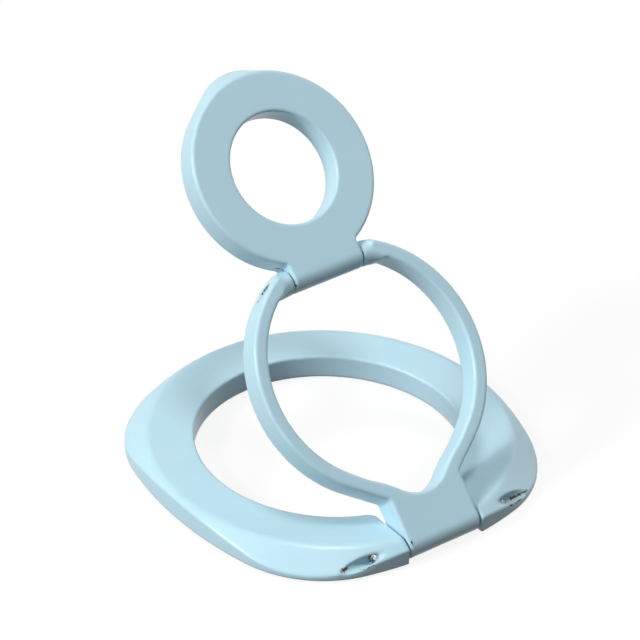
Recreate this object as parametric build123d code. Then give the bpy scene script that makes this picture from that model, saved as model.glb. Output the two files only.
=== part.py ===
from build123d import *
import os
from math import asin, atan2, degrees, sqrt

# Phone ring holder. A cast base ring lies on the back of a phone, a finger ring is hinged on it, and a
# disc is hinged on the finger ring. Millimetres, +Z up. The origin is on the underside, at the centre of
# the base's hole. Both hinge axes run along X, and the base hinge is on the -Y side.

# Base ring
base_thickness = 3.9           # of the casting, which stands on the pad
side_half = 29.1               # half the width across the sides
base_band = 8.1                # width between the hole and the middle of a side
side_arc = 59.7                # the sides bulge on this radius
corner_arc = 17.7
outline_shift = -0.4           # the outline sits a little towards the hinge side of the hole
crown_inset = 0.75             # edge of the flat top, in from the middle of a side
crown_blend = 2.0              # rounding between the flat top and the bevel
corner_wall = 0.9              # wall left under the bevel at the farthest corners
rim_round = 0.3                # edges between the top and the walls
foot_round = 0.2               # edges round the underside
jaw_hole_round = 1.8           # plan corner between the hole and the slot

# Base hinge
hinge_inset = 2.6              # axis in from the edge of the base
phone_gap = 0.175              # finger ring to phone, when it lies flat
base_pin_radius = 0.95
running = 0.03                 # radial clearance between a pin and its sleeve
sleeve_wall = 0.35
sleeve_slit = 0.4
pin_chamfer = 0.2

# Finger ring
ring_thickness = 4.25
ring_gap = 1.1                 # finger ring to the base's hole, when it lies flat
band_width = 2.3
band_tip = 7.8                 # plan radius of the band's lower end
flank_drop = 0.8               # opening drawn down to each side of the pocket
flank_inset = 2.7              # radius there, less than that of the opening
pocket_drop = 2.9              # bottom of the finger pocket, below the round of the opening
pocket_tip = 6.1               # radius at the bottom of the pocket
pocket_neck = 20.0             # plan corner between the flank and the pocket
lug_half = 6.7
slot_clearance = 0.25          # lug to jaw, on each side
shoulder_round = 0.8           # plan corner between the band and the lug
ring_edge = 0.45

# Disc hinge, at the top of the finger ring
disc_hinge_inset = 1.2         # axis in from the inner side of the band
disc_pin_radius = 0.75
disc_pin_grip = 3.5            # length of the pin in each knuckle
disc_lug_half = 6.5
knuckle_clearance = 0.2        # disc lug to knuckle, on each side
knuckle_step = 0.2             # knuckle barrel below the faces of the band
knuckle_heel = 0.1             # knuckle beyond its barrel, on the side of the opening
knuckle_barrel = 0.3           # length of each knuckle that is a plain barrel
knuckle_flare = 5.0            # radius of the flare from the barrel to the band
knuckle_crook = 1.5            # plan corner between the knuckle and the band, inside
knuckle_edge = 0.2             # rounding at the end of each barrel

# Disc
disc_step = 0.05               # disc thinner than the finger ring
disc_gap = 2.15                # disc to the band, when it is folded into the finger ring
disc_hole = 8.95
disc_nose = 0.2                # round of the lug set back from the hinge axis
disc_neck_round = 0.7          # plan corner between the disc and its lug
lip_length = 1.8               # pull lip beyond the round of the disc
lip_tip = 8.8                  # plan radius of the lip
disc_edge = 0.45
disc_hole_edge = 0.35

# Magnets, backing strip and pad in the underside of the base
magnet_count = 14
magnet_thickness = 1.5
magnet_gap = 0.4               # between neighbours, along the mid circle
backing_thickness = 0.4
channel_span = 298.0           # degrees of the circle, the rest is left solid for the hinge
pad_proud = 0.4                # pad below the underside of the casting
pad_recess = 0.45              # pad let into the casting
pad_wall = 1.1                 # casting outside the pad, at the middle of a side
pad_lip = 0.9                  # casting between the pad and the hole
pad_ledge = 0.8                # width of the pad's seat on each side of the magnets
pad_margin = 1.2               # pad beyond each end of the channel, along the mid circle
pad_corner = 0.8
seat = 0.05                    # clearance round what drops into a recess

# Pose in the photograph
ring_angle = 45.5              # finger ring up from the base
disc_lean = 1.6                # disc opened past the plane of the ring

# Worked out from the sizes above
far = 4 * side_half            # longer than anything, for cuts that run right through
hole_radius = side_half - base_band
slot_half = lug_half + slot_clearance
crown_radius = side_half - crown_inset
ring_barrel = ring_thickness / 2
base_axis_y = outline_shift - side_half + hinge_inset
base_axis_z = phone_gap + ring_barrel
ring_outer = hole_radius - ring_gap
ring_inner = ring_outer - band_width
flank_round = ring_inner - flank_inset
pocket_reach = ring_inner + pocket_drop
disc_axis = ring_inner - disc_hinge_inset
knuckle_radius = ring_barrel - knuckle_step
knuckle_low = disc_axis - knuckle_radius - knuckle_heel
knuckle_face = disc_lug_half + knuckle_clearance
disc_thickness = ring_thickness - disc_step
disc_barrel = disc_thickness / 2
disc_radius = ring_inner - disc_gap
lip_reach = disc_radius + lip_length
base_sleeve_bore = base_pin_radius + running
base_sleeve_outer = base_sleeve_bore + sleeve_wall
disc_sleeve_bore = disc_pin_radius + running
disc_sleeve_outer = disc_sleeve_bore + sleeve_wall
pad_thickness = pad_proud + pad_recess
pad_inner = hole_radius + pad_lip
pad_outer = side_half - pad_wall
magnet_inner = pad_inner + pad_ledge
magnet_outer = pad_outer - pad_ledge
mid_radius = (magnet_inner + magnet_outer) / 2
base_hinge = Axis((0, base_axis_y, base_axis_z), (1, 0, 0))
disc_hinge = Axis((0, disc_axis, base_axis_z), (1, 0, 0))


def along_x(radius, length, y, z):
    """Cylinder along X, centred on X = 0."""
    return Pos(0, y, z) * Rot(0, 90, 0) * Cylinder(radius, length)


def near(shape, points, reach=0.05):
    """Vertices of a plan that lie at the given points."""
    return [v for v in shape.vertices() if any((Vector(v) - Vector(*p)).length < reach for p in points)]


def pear(radius, tip, reach):
    """Round plan drawn out on the -Y side to a rounded point."""
    large = Rot(0, 0, 90) * Circle(radius)
    small = Pos(0, tip - reach) * Rot(0, 0, 90) * Circle(tip)
    return make_hull([large.edge(), small.edge()])


def polar(radius, angle):
    """Point of a plan, by its distance and its angle from X."""
    return Vector(radius, 0).rotate(Axis.Z, angle)


def upright(edge):
    """True for a straight edge that runs along Z."""
    return edge.geom_type == GeomType.LINE and abs((edge % 0.5).Z) > 0.9


def arc_bar(inner, outer, z0, z1, span, start):
    """Bar of rectangular section bent round Z, from the start angle."""
    section = Plane.XZ * (Pos((inner + outer) / 2, (z0 + z1) / 2) * Rectangle(outer - inner, z1 - z0))
    return Rot(0, 0, start) * revolve(section, Axis.Z, span)


def raise_ring(shape):
    """From lying flat in the base to the pose of the finger ring."""
    return shape.rotate(base_hinge, ring_angle)


def raise_disc(shape):
    """From straight out beyond the flat ring to the pose of the disc."""
    return raise_ring(shape.rotate(disc_hinge, -disc_lean))


def pin(radius, length, y, z):
    """Hinge pin with chamfered ends."""
    body = along_x(radius, length, y, z)
    return chamfer(body.edges().filter_by(GeomType.CIRCLE), pin_chamfer)


def sleeve(bore, outer, length, y, z):
    """Rolled spring sleeve, slit along its length."""
    slit = Pos(0, y + (bore + outer) / 2, z) * Box(length, 2 * sleeve_wall, sleeve_slit)
    return along_x(outer, length, y, z) - along_x(bore, length, y, z) - slit


# Base ring: plan with the hole and the slot, cut to the flat top and the conical bevel
side_centre = side_half - side_arc
outline = Pos(side_centre, 0) * Circle(side_arc)
for quarter in (90, 180, 270):
    outline &= Rot(0, 0, quarter) * Pos(side_centre, 0) * Circle(side_arc)
outline = Pos(0, outline_shift) * fillet(outline.vertices(), corner_arc)
base_plan = outline - Circle(hole_radius) - Pos(0, -far / 2) * Rectangle(2 * slot_half, far)
slot_mouth = -sqrt(hole_radius**2 - slot_half**2)
mouth_corners = near(base_plan, [(-slot_half, slot_mouth), (slot_half, slot_mouth)])
base_plan = fillet(mouth_corners, jaw_hole_round)

# The bevel falls from the flat top to what is left of the wall at the farthest corners
corners = [e for e in outline.edges() if abs(e.radius - corner_arc) < seat]
corner_reach = max(e.arc_center.length for e in corners) + corner_arc
bevel_run = (corner_reach - crown_radius) / (base_thickness - corner_wall)
cone_foot = crown_radius + base_thickness * bevel_run
crown_edge = (crown_radius, base_thickness)
crown_profile = Polygon((0, 0), (cone_foot, 0), crown_edge, (0, base_thickness), align=None)
crown_profile = fillet(near(crown_profile, [crown_edge]), crown_blend)
base_ring = extrude(base_plan, base_thickness) & revolve(Plane.XZ * crown_profile, Axis.Z)

walls = [f for f in base_ring.faces() if abs(f.normal_at().Z) < 1e-6]
rim = [e for f in walls for e in f.edges() if not upright(e) and e.center().Z > foot_round]
jaw_tips = [e for e in base_ring.edges() if upright(e) and e.center().Y < base_axis_y]
jaw_tips = [e for e in jaw_tips if abs(abs(e.center().X) - slot_half) < seat]
base_ring = fillet(rim + jaw_tips, rim_round)
underside = base_ring.faces().sort_by(Axis.Z)[0]
base_ring = Pos(0, 0, pad_proud) * fillet(underside.outer_wire().edges(), foot_round)

# Channel for the magnets, recess for the pad and the bore of the base hinge
channel_start = -90 + (360 - channel_span) / 2
magnet_top = pad_thickness + magnet_thickness
channel_top = magnet_top + backing_thickness
seat_turn = degrees(seat / mid_radius)
pad_turn = degrees(pad_margin / mid_radius)
pad_start = channel_start - pad_turn
pad_span = channel_span + 2 * pad_turn
cut_start = channel_start - seat_turn
cut_span = channel_span + 2 * seat_turn
base_ring -= arc_bar(magnet_inner - seat, magnet_outer + seat, 0, channel_top, cut_span, cut_start)
recess_start = pad_start - seat_turn
recess_span = pad_span + 2 * seat_turn
recess = arc_bar(pad_inner - seat, pad_outer + seat, 0, pad_thickness, recess_span, recess_start)
base_ring -= fillet([e for e in recess.edges() if upright(e)], pad_corner)
base_ring -= along_x(base_pin_radius, far, base_axis_y, base_axis_z)

pad = arc_bar(pad_inner, pad_outer, 0, pad_thickness, pad_span, pad_start)
pad = fillet([e for e in pad.edges() if upright(e)], pad_corner)
backing_strip = arc_bar(magnet_inner, magnet_outer, magnet_top, channel_top, channel_span, channel_start)
magnet_pitch = channel_span / magnet_count
magnet_span = magnet_pitch - degrees(magnet_gap / mid_radius)
magnets = []
for number in range(magnet_count):
    start = channel_start + number * magnet_pitch + (magnet_pitch - magnet_span) / 2
    magnets.append(arc_bar(magnet_inner, magnet_outer, pad_thickness, magnet_top, magnet_span, start))

# The ends of the base hinge pin are level with the bevel
pin_top = base_axis_z + base_pin_radius - pad_proud
pin_end = sqrt((crown_radius + (base_thickness - pin_top) * bevel_run)**2 - base_axis_y**2)
base_hinge_pin = pin(base_pin_radius, 2 * pin_end, base_axis_y, base_axis_z)
base_sleeve = sleeve(base_sleeve_bore, base_sleeve_outer, 2 * lug_half, base_axis_y, base_axis_z)

# Finger ring, drawn lying flat in the base's hole
opening = pear(ring_inner, flank_round, ring_inner + flank_drop)
pocket_centre = Vector(0, pocket_tip - pocket_reach)
opening += Pos(pocket_centre) * Rot(0, 0, 90) * Circle(pocket_tip)
necks = [v for v in opening.vertices() if abs((Vector(v) - pocket_centre).length - pocket_tip) < seat]
opening = fillet(necks, pocket_neck)
band = pear(ring_outer, band_tip, pocket_reach + band_width)
knuckles = (Pos(0, knuckle_low + far / 2) * Rectangle(far, far)) & Circle(ring_outer)
lug = Pos(0, base_axis_y / 2) * Rectangle(2 * lug_half, -base_axis_y)
ring_plan = band + lug - opening + knuckles
ring_plan -= Pos(0, far / 2) * Rectangle(2 * knuckle_face, far)
shoulders = [v for v in ring_plan.vertices() if abs(abs(v.X) - lug_half) < seat]
shoulders = [v for v in shoulders if base_axis_y + seat < v.Y < 0]
ring_plan = fillet(shoulders, shoulder_round)
crooks = [v for v in ring_plan.vertices() if abs(v.Y - knuckle_low) < seat]
crooks = [v for v in crooks if abs(v.X) > knuckle_face + seat]
ring_plan = fillet(crooks, knuckle_crook)

ring = Pos(0, 0, base_axis_z) * extrude(ring_plan, ring_thickness / 2, both=True)
ring += along_x(ring_barrel, 2 * lug_half, base_axis_y, base_axis_z)
ring_rims = ring.faces().filter_by(Plane.XY)
ring_edges = [e for f in ring_rims for e in f.edges() if abs(e.center().Y - base_axis_y) > seat]
ring_edges = [e for e in ring_edges if abs(abs(e.center().X) - knuckle_face) > seat]
lug_ends = [e for e in ring.edges().filter_by(GeomType.CIRCLE) if e.center().Y < base_axis_y]
ring = fillet(ring_edges + lug_ends, ring_edge)

# A round-nosed cutter, turned about the disc hinge, makes each knuckle a barrel that flares into the band
nose = knuckle_face + knuckle_barrel
cutter_mid = knuckle_radius + knuckle_flare
cutter = Pos(nose, cutter_mid) * Circle(knuckle_flare)
cutter += Pos(nose / 2, cutter_mid) * Rectangle(nose, 2 * knuckle_flare)
knuckle_cut = Pos(0, disc_axis, base_axis_z) * revolve(cutter, Axis.X)
ring -= knuckle_cut
ring -= mirror(knuckle_cut, Plane.YZ)
knuckle_ends = [e for e in ring.edges().filter_by(GeomType.CIRCLE) if e.center().Y > 0]
knuckle_ends = [e for e in knuckle_ends if abs(abs(e.center().X) - knuckle_face) < seat]
ring = fillet(knuckle_ends, knuckle_edge)
ring -= along_x(disc_pin_radius, far, disc_axis, base_axis_z)
ring -= along_x(base_sleeve_outer, far, base_axis_y, base_axis_z)

disc_pin_length = 2 * (knuckle_face + disc_pin_grip)
disc_hinge_pin = pin(disc_pin_radius, disc_pin_length, disc_axis, base_axis_z)
disc_sleeve = sleeve(disc_sleeve_bore, disc_sleeve_outer, 2 * disc_lug_half, disc_axis, base_axis_z)

# Disc, drawn straight out beyond the flat ring. Its upper face is round and its lower face is drawn out
# to the pull lip, so the wall leans out towards the lip. Both outlines part at the same four places.
lip_centre = Vector(0, lip_reach - lip_tip)
touch = degrees(asin((disc_radius - lip_tip) / lip_centre.Y))
lip_start = lip_centre + polar(lip_tip, touch)
lip_angle = degrees(atan2(lip_start.Y, lip_start.X))
back_arc = CenterArc((0, 0), disc_radius, 180 - touch, 180 + 2 * touch)
lip_side = Line(polar(disc_radius, touch), lip_start)
lip_arc = CenterArc(lip_centre, lip_tip, touch, 180 - 2 * touch)
lip_outline = [back_arc, lip_side, lip_arc, mirror(lip_side, Plane.YZ)]
round_outline = [back_arc]
for start, end in ((touch, lip_angle), (lip_angle, 180 - lip_angle), (180 - lip_angle, 180 - touch)):
    round_outline.append(CenterArc((0, 0), disc_radius, start, end - start))
disc_centre = 2 * disc_axis
lower_face = Pos(0, disc_centre, base_axis_z - disc_thickness / 2) * make_face(lip_outline)
upper_face = Pos(0, disc_centre, base_axis_z + disc_thickness / 2) * make_face(round_outline)
disc = loft([lower_face, upper_face], ruled=True)
disc_lug = Box(2 * disc_lug_half, disc_radius, disc_thickness)
nose_y = disc_axis + disc_nose
disc += Pos(0, nose_y + disc_radius / 2, base_axis_z) * disc_lug
disc += along_x(disc_barrel, 2 * disc_lug_half, nose_y, base_axis_z)
lug_corners = [e for e in disc.edges() if upright(e) and abs(abs(e.center().X) - disc_lug_half) < seat]
disc = fillet(lug_corners, disc_neck_round)
disc -= Pos(0, disc_centre, base_axis_z) * Cylinder(disc_hole, disc_thickness)
disc_rims = disc.faces().filter_by(Plane.XY)
outer_edges = [e for f in disc_rims for e in f.outer_wire().edges()]
disc = fillet([e for e in outer_edges if abs(e.center().Y - nose_y) > seat], disc_edge)
hole_edges = [e for f in disc.faces().filter_by(Plane.XY) for w in f.inner_wires() for e in w.edges()]
disc = fillet(hole_edges, disc_hole_edge)
disc -= along_x(disc_sleeve_outer, far, disc_axis, base_axis_z)

nodes = {
    "base_ring": base_ring,
    "pad": pad,
    "backing_strip": backing_strip,
    "base_hinge_pin": base_hinge_pin,
    "finger_ring": raise_ring(ring),
    "base_hinge_sleeve": raise_ring(base_sleeve),
    "disc_hinge_pin": raise_ring(disc_hinge_pin),
    "disc": raise_disc(disc),
    "disc_hinge_sleeve": raise_disc(disc_sleeve),
}
for number, magnet in enumerate(magnets, start=1):
    nodes[f"magnet_{number:02d}"] = magnet
os.makedirs("parts", exist_ok=True)
for name, shape in nodes.items():
    export_step(shape, f"parts/{name}.step")
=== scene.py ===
import bpy
from math import cos, radians, sin
from mathutils import Matrix, Vector


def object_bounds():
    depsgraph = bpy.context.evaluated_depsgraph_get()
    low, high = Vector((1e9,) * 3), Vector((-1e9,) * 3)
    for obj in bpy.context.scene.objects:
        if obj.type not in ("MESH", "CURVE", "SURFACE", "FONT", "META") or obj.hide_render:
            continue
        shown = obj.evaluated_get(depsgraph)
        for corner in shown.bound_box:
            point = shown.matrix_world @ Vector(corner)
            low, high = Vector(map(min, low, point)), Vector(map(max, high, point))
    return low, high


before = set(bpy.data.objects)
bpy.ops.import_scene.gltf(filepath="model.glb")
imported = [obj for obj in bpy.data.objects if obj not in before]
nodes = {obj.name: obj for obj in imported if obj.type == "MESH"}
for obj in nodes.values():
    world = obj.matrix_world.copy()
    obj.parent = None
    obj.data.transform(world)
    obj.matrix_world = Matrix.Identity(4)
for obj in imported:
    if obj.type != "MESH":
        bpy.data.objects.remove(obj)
cad_low, cad_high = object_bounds()
scene = bpy.context.scene
scene.view_settings.view_transform = "Standard"

# Places and sizes on the object are written in millimetres, and the scene is in metres
MM = 0.001

# Colours of the object, linear
BLUE_DEEP = (0.462, 0.694, 0.794, 1)
BLUE_PALE = (0.482, 0.712, 0.808, 1)
DUST = (0.22, 0.30, 0.34, 1)
# Dark of the chips, which is also painted as shade into gaps and slots
CHIP_AND_GAP_SHADE_DARK = (0.034, 0.026, 0.021, 1)
CHIP_PALE = (0.46, 0.39, 0.31, 1)
PIN_DARK = (0.16, 0.14, 0.12, 1)
PIN_PALE = (0.46, 0.42, 0.38, 1)
SLEEVE_DARK = (0.34, 0.34, 0.35, 1)
SLEEVE_PALE = (0.52, 0.52, 0.53, 1)
STRIP_DARK = (0.42, 0.42, 0.43, 1)
STRIP_PALE = (0.56, 0.56, 0.57, 1)
NICKEL_DARK = (0.56, 0.53, 0.49, 1)
NICKEL_PALE = (0.68, 0.65, 0.61, 1)
PAD_DARK = (0.055, 0.058, 0.062, 1)
PAD_PALE = (0.078, 0.081, 0.086, 1)


class Graph:
    """A material's node tree, with short calls for the nodes used here."""

    def __init__(self, name):
        self.material = bpy.data.materials.new(name)
        self.material.use_nodes = True
        self.tree = self.material.node_tree
        self.shader = self.tree.nodes["Principled BSDF"]
        self.place = self.tree.nodes.new("ShaderNodeTexCoord").outputs["Object"]

    def feed(self, socket, value):
        """Links an output to a socket, or sets the socket to a plain value."""
        if isinstance(value, bpy.types.NodeSocket):
            self.tree.links.new(value, socket)
        else:
            socket.default_value = value

    def set(self, **values):
        """Inputs of the shader, by their names with _ for a space."""
        for name, value in values.items():
            self.feed(self.shader.inputs[name.replace("_", " ")], value)

    def math(self, operation, a, b=0.0, clamp=False):
        node = self.tree.nodes.new("ShaderNodeMath")
        node.operation = operation
        node.use_clamp = clamp
        self.feed(node.inputs[0], a)
        self.feed(node.inputs[1], b)
        return node.outputs[0]

    def ramp(self, value, low, high, out_low=0.0, out_high=1.0, smooth=False):
        """Maps low to out_low and high to out_high, and holds those values beyond."""
        node = self.tree.nodes.new("ShaderNodeMapRange")
        node.interpolation_type = "SMOOTHSTEP" if smooth else "LINEAR"
        self.feed(node.inputs["Value"], value)
        node.inputs["From Min"].default_value = low
        node.inputs["From Max"].default_value = high
        node.inputs["To Min"].default_value = out_low
        node.inputs["To Max"].default_value = out_high
        return node.outputs["Result"]

    def noise(self, size, detail=2.0, rough=0.5, place=None):
        """Noise whose features are about size millimetres across."""
        node = self.tree.nodes.new("ShaderNodeTexNoise")
        self.feed(node.inputs["Vector"], place or self.place)
        node.inputs["Scale"].default_value = 1 / (size * MM)
        node.inputs["Detail"].default_value = detail
        node.inputs["Roughness"].default_value = rough
        return node.outputs["Fac"]

    def specks(self, spacing, radius):
        """1 in small round spots that lie about spacing millimetres apart."""
        node = self.tree.nodes.new("ShaderNodeTexVoronoi")
        self.feed(node.inputs["Vector"], self.place)
        node.inputs["Scale"].default_value = 1 / (spacing * MM)
        share = radius / spacing
        return self.ramp(node.outputs["Distance"], share, share * 0.4, smooth=True)

    def vector(self, operation, a, b, output="Vector"):
        node = self.tree.nodes.new("ShaderNodeVectorMath")
        node.operation = operation
        self.feed(node.inputs[0], a)
        self.feed(node.inputs["Scale"] if operation == "SCALE" else node.inputs[1], b)
        return node.outputs[output]

    def distance(self, start, end):
        """Distance from the line between two places that are given in millimetres."""
        start = Vector(start) * MM
        along = Vector(end) * MM - start
        place = self.vector("SUBTRACT", self.place, start)
        share = self.vector("DOT_PRODUCT", place, along, "Value")
        share = self.math("DIVIDE", share, along.length_squared, clamp=True)
        return self.vector("DISTANCE", place, self.vector("SCALE", along, share), "Value")

    def along_x(self):
        """Distance from the middle of the object, along X."""
        node = self.tree.nodes.new("ShaderNodeSeparateXYZ")
        self.feed(node.inputs[0], self.place)
        return self.math("ABSOLUTE", node.outputs["X"])

    def mix(self, share, a, b):
        """Colour a where share is 0 and b where it is 1."""
        node = self.tree.nodes.new("ShaderNodeMix")
        node.data_type = "RGBA"
        self.feed(node.inputs["Factor"], share)
        self.feed(node.inputs[6], a)
        self.feed(node.inputs[7], b)
        return node.outputs[2]

    def bump(self, height, depth, strength=1.0, edge=0.0):
        """Bump whose full height is depth millimetres, over edges softened by a radius in millimetres."""
        node = self.tree.nodes.new("ShaderNodeBump")
        if edge:
            soft = self.tree.nodes.new("ShaderNodeBevel")
            soft.samples = 6
            soft.inputs["Radius"].default_value = edge * MM
            self.feed(node.inputs["Normal"], soft.outputs["Normal"])
        node.inputs["Strength"].default_value = strength
        node.inputs["Distance"].default_value = depth * MM
        self.feed(node.inputs["Height"], height)
        self.feed(self.shader.inputs["Normal"], node.outputs["Normal"])


def chipped_and_gap_shade(g, flakes, chips):
    """1 where the paint has come off, and where a gap or slot is painted dark as shade. Each chip is
    (start, end, reach, strength): a line on the object, how far round it the paint is damaged or painted
    dark and how much of it is gone."""
    bare_and_gap_shade = 0.0
    for start, end, reach, strength in chips:
        near = g.ramp(g.distance(start, end), 0.0, reach * MM, strength, 0.0)
        spot = g.ramp(g.math("ADD", flakes, near), 0.93, 0.99, smooth=True)
        bare_and_gap_shade = g.math("MAXIMUM", bare_and_gap_shade, spot)
    return bare_and_gap_shade


def blue_paint(name, chips, bare_within=0.0):
    """Satin light-blue paint on metal with chips, some of which are painted shade in gaps. A pin is left
    unpainted within a distance from its middle.
    """
    g = Graph(name)
    flakes = g.noise(0.5, detail=4.0, rough=0.62)
    bare_and_gap_shade = chipped_and_gap_shade(g, flakes, chips)
    cloud = g.ramp(g.noise(14.0), 0.3, 0.7)
    paint = g.mix(cloud, BLUE_DEEP, BLUE_PALE)
    paint = g.mix(g.math("MULTIPLY", g.specks(4.2, 0.09), 0.16), paint, DUST)
    grit = g.ramp(g.noise(0.28), 0.54, 0.66, smooth=True)
    # Chips, and gaps painted dark as shade, take the dark chip colour with pale grit
    colour = g.mix(bare_and_gap_shade, paint, g.mix(grit, CHIP_AND_GAP_SHADE_DARK, CHIP_PALE))
    peel = g.noise(0.35, rough=0.45)
    swell = g.noise(2.6, detail=1.0)
    height = g.math("ADD", g.math("MULTIPLY", peel, 0.35), g.math("MULTIPLY", swell, 0.65))
    height = g.math("SUBTRACT", height, g.math("MULTIPLY", bare_and_gap_shade, 2.5))
    rough = g.ramp(peel, 0.25, 0.75, 0.27, 0.32)
    rough = g.math("ADD", rough, g.math("MULTIPLY", bare_and_gap_shade, 0.2))
    if bare_within:
        inside = g.ramp(g.along_x(), (bare_within + 0.1) * MM, bare_within * MM)
        colour = g.mix(inside, colour, g.mix(flakes, PIN_DARK, PIN_PALE))
        g.set(Metallic=inside)
    g.set(Base_Color=colour, Roughness=rough, IOR=1.42)
    g.bump(height, depth=0.008, strength=0.4, edge=0.7)
    return g.material


def bare_metal(name, dark, light, grain, rough, stretch=(1, 1, 1)):
    """Plain metal with a fine grain, drawn out along the axes with a small stretch."""
    g = Graph(name)
    node = g.tree.nodes.new("ShaderNodeMapping")
    g.feed(node.inputs["Vector"], g.place)
    node.inputs["Scale"].default_value = stretch
    lines = g.noise(grain, detail=4.0, rough=0.6, place=node.outputs["Vector"])
    g.set(Base_Color=g.mix(lines, dark, light), Metallic=1.0)
    g.set(Roughness=g.ramp(lines, 0.25, 0.75, rough - 0.07, rough + 0.07))
    g.bump(lines, depth=0.006, strength=0.4)
    return g.material


def soft_pad(name):
    """Matt grey pad with a fine pebble grain."""
    g = Graph(name)
    pebble = g.noise(0.5)
    g.set(Base_Color=g.mix(g.noise(6.0), PAD_DARK, PAD_PALE))
    g.set(Roughness=g.ramp(pebble, 0.3, 0.7, 0.66, 0.82))
    g.bump(pebble, depth=0.03, strength=0.6)
    return g.material


def dress(material, *names):
    """Gives the CAD nodes of these names one material."""
    for name in names:
        mesh = nodes[name].data
        mesh.materials.clear()
        mesh.materials.append(material)


# Chipped paint in the two grooves of the base and at the ring's and the disc's hinges, with painted shade
# in the gap at the left groove's pin end and in the slot at the ring's shoulder; most of each pin's end
# face is darkened
base_chips_and_gap_shade = [
    ((-17.6, -26.1, 1.8), (-16.7, -26.0, 1.9), 0.80, 0.72),
    # Chips at the left groove's pin end, and painted shade in the gap between pin and bore there
    ((-13.0, -26.5, 2.7), (-13.2, -28.0, 2.2), 0.50, 0.66),
    ((-14.7, -26.8, 1.4), (-14.2, -27.2, 1.4), 0.45, 0.54),
    ((14.8, -26.2, 1.7), (18.3, -26.0, 1.7), 0.55, 0.74),
    ((13.3, -28.0, 2.1), (15.2, -27.2, 1.4), 0.55, 0.64),
    ((15.2, -27.2, 1.4), (16.5, -26.8, 1.4), 0.50, 0.66),
]
# Darkens most of each pin's end face
pin_end_dark_marks = [
    ((-12.7, -26.3, 2.7), (-12.7, -27.5, 2.2), 1.40, 0.80),
    ((12.7, -26.9, 3.2), (12.7, -27.7, 2.4), 1.20, 0.75),
]
ring_chips_and_slot_shade = [
    ((-6.3, -28.7, 3.4), (-6.2, -28.3, 3.9), 0.36, 0.56),
    # Chips and painted shade in the dark slot at the ring's shoulder, where the disc pin's bore comes out
    ((-9.9, 4.0, 33.8), (-10.6, 4.0, 32.9), 0.40, 0.85),
    ((-10.6, 4.0, 32.9), (-11.1, 3.9, 32.6), 0.34, 0.60),
    ((-12.5, 3.0, 32.4), (-12.6, 2.9, 32.2), 0.50, 0.76),
]
disc_chips = [
    ((-7.1, 5.6, 34.8), (-6.8, 5.0, 34.5), 0.80, 0.72),
    ((-6.5, 1.7, 33.6), (-6.5, 1.2, 33.9), 0.60, 0.74),
]
pin_bare_half = 12.3
dress(blue_paint("blue_paint_base", base_chips_and_gap_shade), "base_ring")
dress(blue_paint("blue_paint_ring", ring_chips_and_slot_shade), "finger_ring")
dress(blue_paint("blue_paint_disc", disc_chips), "disc")
dress(blue_paint("blue_paint_base_pin", pin_end_dark_marks, pin_bare_half), "base_hinge_pin")
dress(bare_metal("pin_steel", PIN_DARK, PIN_PALE, 0.5, 0.42), "disc_hinge_pin")
sleeve_steel = bare_metal("sleeve_steel", SLEEVE_DARK, SLEEVE_PALE, 0.4, 0.36, stretch=(0.1, 1, 1))
dress(sleeve_steel, "base_hinge_sleeve", "disc_hinge_sleeve")
dress(bare_metal("strip_steel", STRIP_DARK, STRIP_PALE, 0.6, 0.40), "backing_strip")
nickel = bare_metal("magnet_nickel", NICKEL_DARK, NICKEL_PALE, 1.2, 0.24)
dress(nickel, *[name for name in nodes if name.startswith("magnet_")])
dress(soft_pad("soft_pad"), "pad")

# Floor and sky, in metres and linear levels
floor_half = 3.0
floor_white = 0.96             # colour of the floor in the share that takes the shadow
floor_grey = 0.04              # the same for scattered light, so that little of it comes back up
shadow_share = 0.12
sky_level = 0.02               # strength of the sky's light on the object


def seen_directly(tree):
    """1 for rays from the camera and for those that are mirrored or let through, 0 for scattered light."""
    path = tree.nodes.new("ShaderNodeLightPath")
    total = path.outputs["Is Camera Ray"]
    for name in ("Is Glossy Ray", "Is Transmission Ray"):
        node = tree.nodes.new("ShaderNodeMath")
        node.operation = "MAXIMUM"
        tree.links.new(total, node.inputs[0])
        tree.links.new(path.outputs[name], node.inputs[1])
        total = node.outputs[0]
    return total


def floor_material():
    """White to the eye with a faint shadow, and a grey that throws little light back up."""
    material = bpy.data.materials.new("floor_white")
    material.use_nodes = True
    tree = material.node_tree
    tree.nodes.remove(tree.nodes["Principled BSDF"])
    glow = tree.nodes.new("ShaderNodeEmission")
    glow.inputs["Color"].default_value = (1, 1, 1, 1)
    glow.inputs["Strength"].default_value = 1.0
    white = tree.nodes.new("ShaderNodeBsdfDiffuse")
    white.inputs["Color"].default_value = (floor_white, floor_white, floor_white, 1)
    grey = tree.nodes.new("ShaderNodeBsdfDiffuse")
    grey.inputs["Color"].default_value = (floor_grey, floor_grey, floor_grey, 1)
    shown = tree.nodes.new("ShaderNodeMixShader")
    shown.inputs[0].default_value = shadow_share
    tree.links.new(glow.outputs[0], shown.inputs[1])
    tree.links.new(white.outputs[0], shown.inputs[2])
    both = tree.nodes.new("ShaderNodeMixShader")
    tree.links.new(seen_directly(tree), both.inputs[0])
    tree.links.new(grey.outputs[0], both.inputs[1])
    tree.links.new(shown.outputs[0], both.inputs[2])
    tree.links.new(both.outputs[0], tree.nodes["Material Output"].inputs["Surface"])
    return material


floor_mesh = bpy.data.meshes.new("floor")
floor_corners = [(x * floor_half, y * floor_half, 0) for x, y in ((-1, -1), (1, -1), (1, 1), (-1, 1))]
floor_mesh.from_pydata(floor_corners, [], [(0, 1, 2, 3)])
floor_mesh.materials.append(floor_material())
floor = bpy.data.objects.new("floor", floor_mesh)
scene.collection.objects.link(floor)
floor.location.z = cad_low.z

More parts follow.
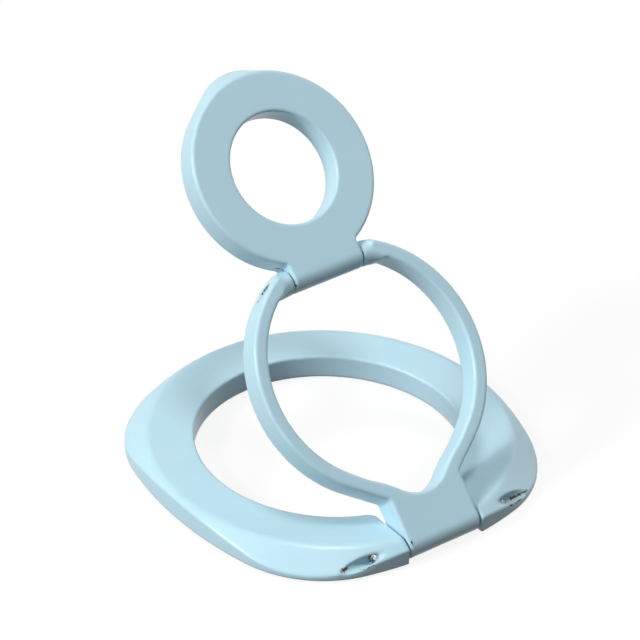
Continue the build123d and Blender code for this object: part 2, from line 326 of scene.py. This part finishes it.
world = bpy.data.worlds.new("studio")
scene.world = world
world.use_nodes = True
sky = world.node_tree.nodes["Background"]
sky.inputs["Color"].default_value = (1, 1, 1, 1)
level = world.node_tree.nodes.new("ShaderNodeMapRange")
world.node_tree.links.new(seen_directly(world.node_tree), level.inputs["Value"])
level.inputs["To Min"].default_value = sky_level
level.inputs["To Max"].default_value = 1.0
world.node_tree.links.new(level.outputs["Result"], sky.inputs["Strength"])


def soft_sun(name, azimuth, elevation, strength, angle):
    """Distant soft light. Azimuth is counted from +X towards +Y, to where the light stands."""
    lamp = bpy.data.lights.new(name, "SUN")
    lamp.energy = strength
    lamp.angle = radians(angle)
    light = bpy.data.objects.new(name, lamp)
    a, e = radians(azimuth), radians(elevation)
    light.rotation_mode = "QUATERNION"
    light.rotation_quaternion = Vector((cos(e) * cos(a), cos(e) * sin(a), sin(e))).to_track_quat("Z", "Y")
    scene.collection.objects.link(light)


soft_sun("key_left", 168, 34, 2.00, 24)
soft_sun("key_core", 165, 38, 0.80, 7)
soft_sun("low_left", -155, 11, 0.60, 36)
soft_sun("top", -117, 86, 1.08, 13)
soft_sun("fill_right", -5, 33, 0.92, 60)

# Camera, from the photograph's outlines: pixels of its square frame, degrees and millimetres
frame_px = 640
sensor_mm = 36
focal_px = 5009.2
azimuth, elevation, roll = radians(-38.709), radians(34.510), radians(2.363)
hole_px = (329.08, 454.93)
distance = 775.65
hole_height = 0.4

back = Vector((sin(azimuth) * cos(elevation), -cos(azimuth) * cos(elevation), sin(elevation)))
right = Vector((cos(azimuth), sin(azimuth), 0))
up = back.cross(right)
across = cos(roll) * right + sin(roll) * up
rise = cos(roll) * up - sin(roll) * right
eye = back * distance
eye -= across * ((hole_px[0] - frame_px / 2) / focal_px * distance)
eye += rise * ((hole_px[1] - frame_px / 2) / focal_px * distance)
eye.z += hole_height
camera_data = bpy.data.cameras.new("camera")
camera_data.sensor_width = sensor_mm
camera_data.lens = focal_px / frame_px * sensor_mm
camera_data.clip_start = 0.05
camera_data.clip_end = 20
camera = bpy.data.objects.new("camera", camera_data)
facing = Matrix((across, rise, back)).transposed().to_4x4()
camera.matrix_world = Matrix.Translation(eye * MM) @ facing
scene.collection.objects.link(camera)
scene.camera = camera
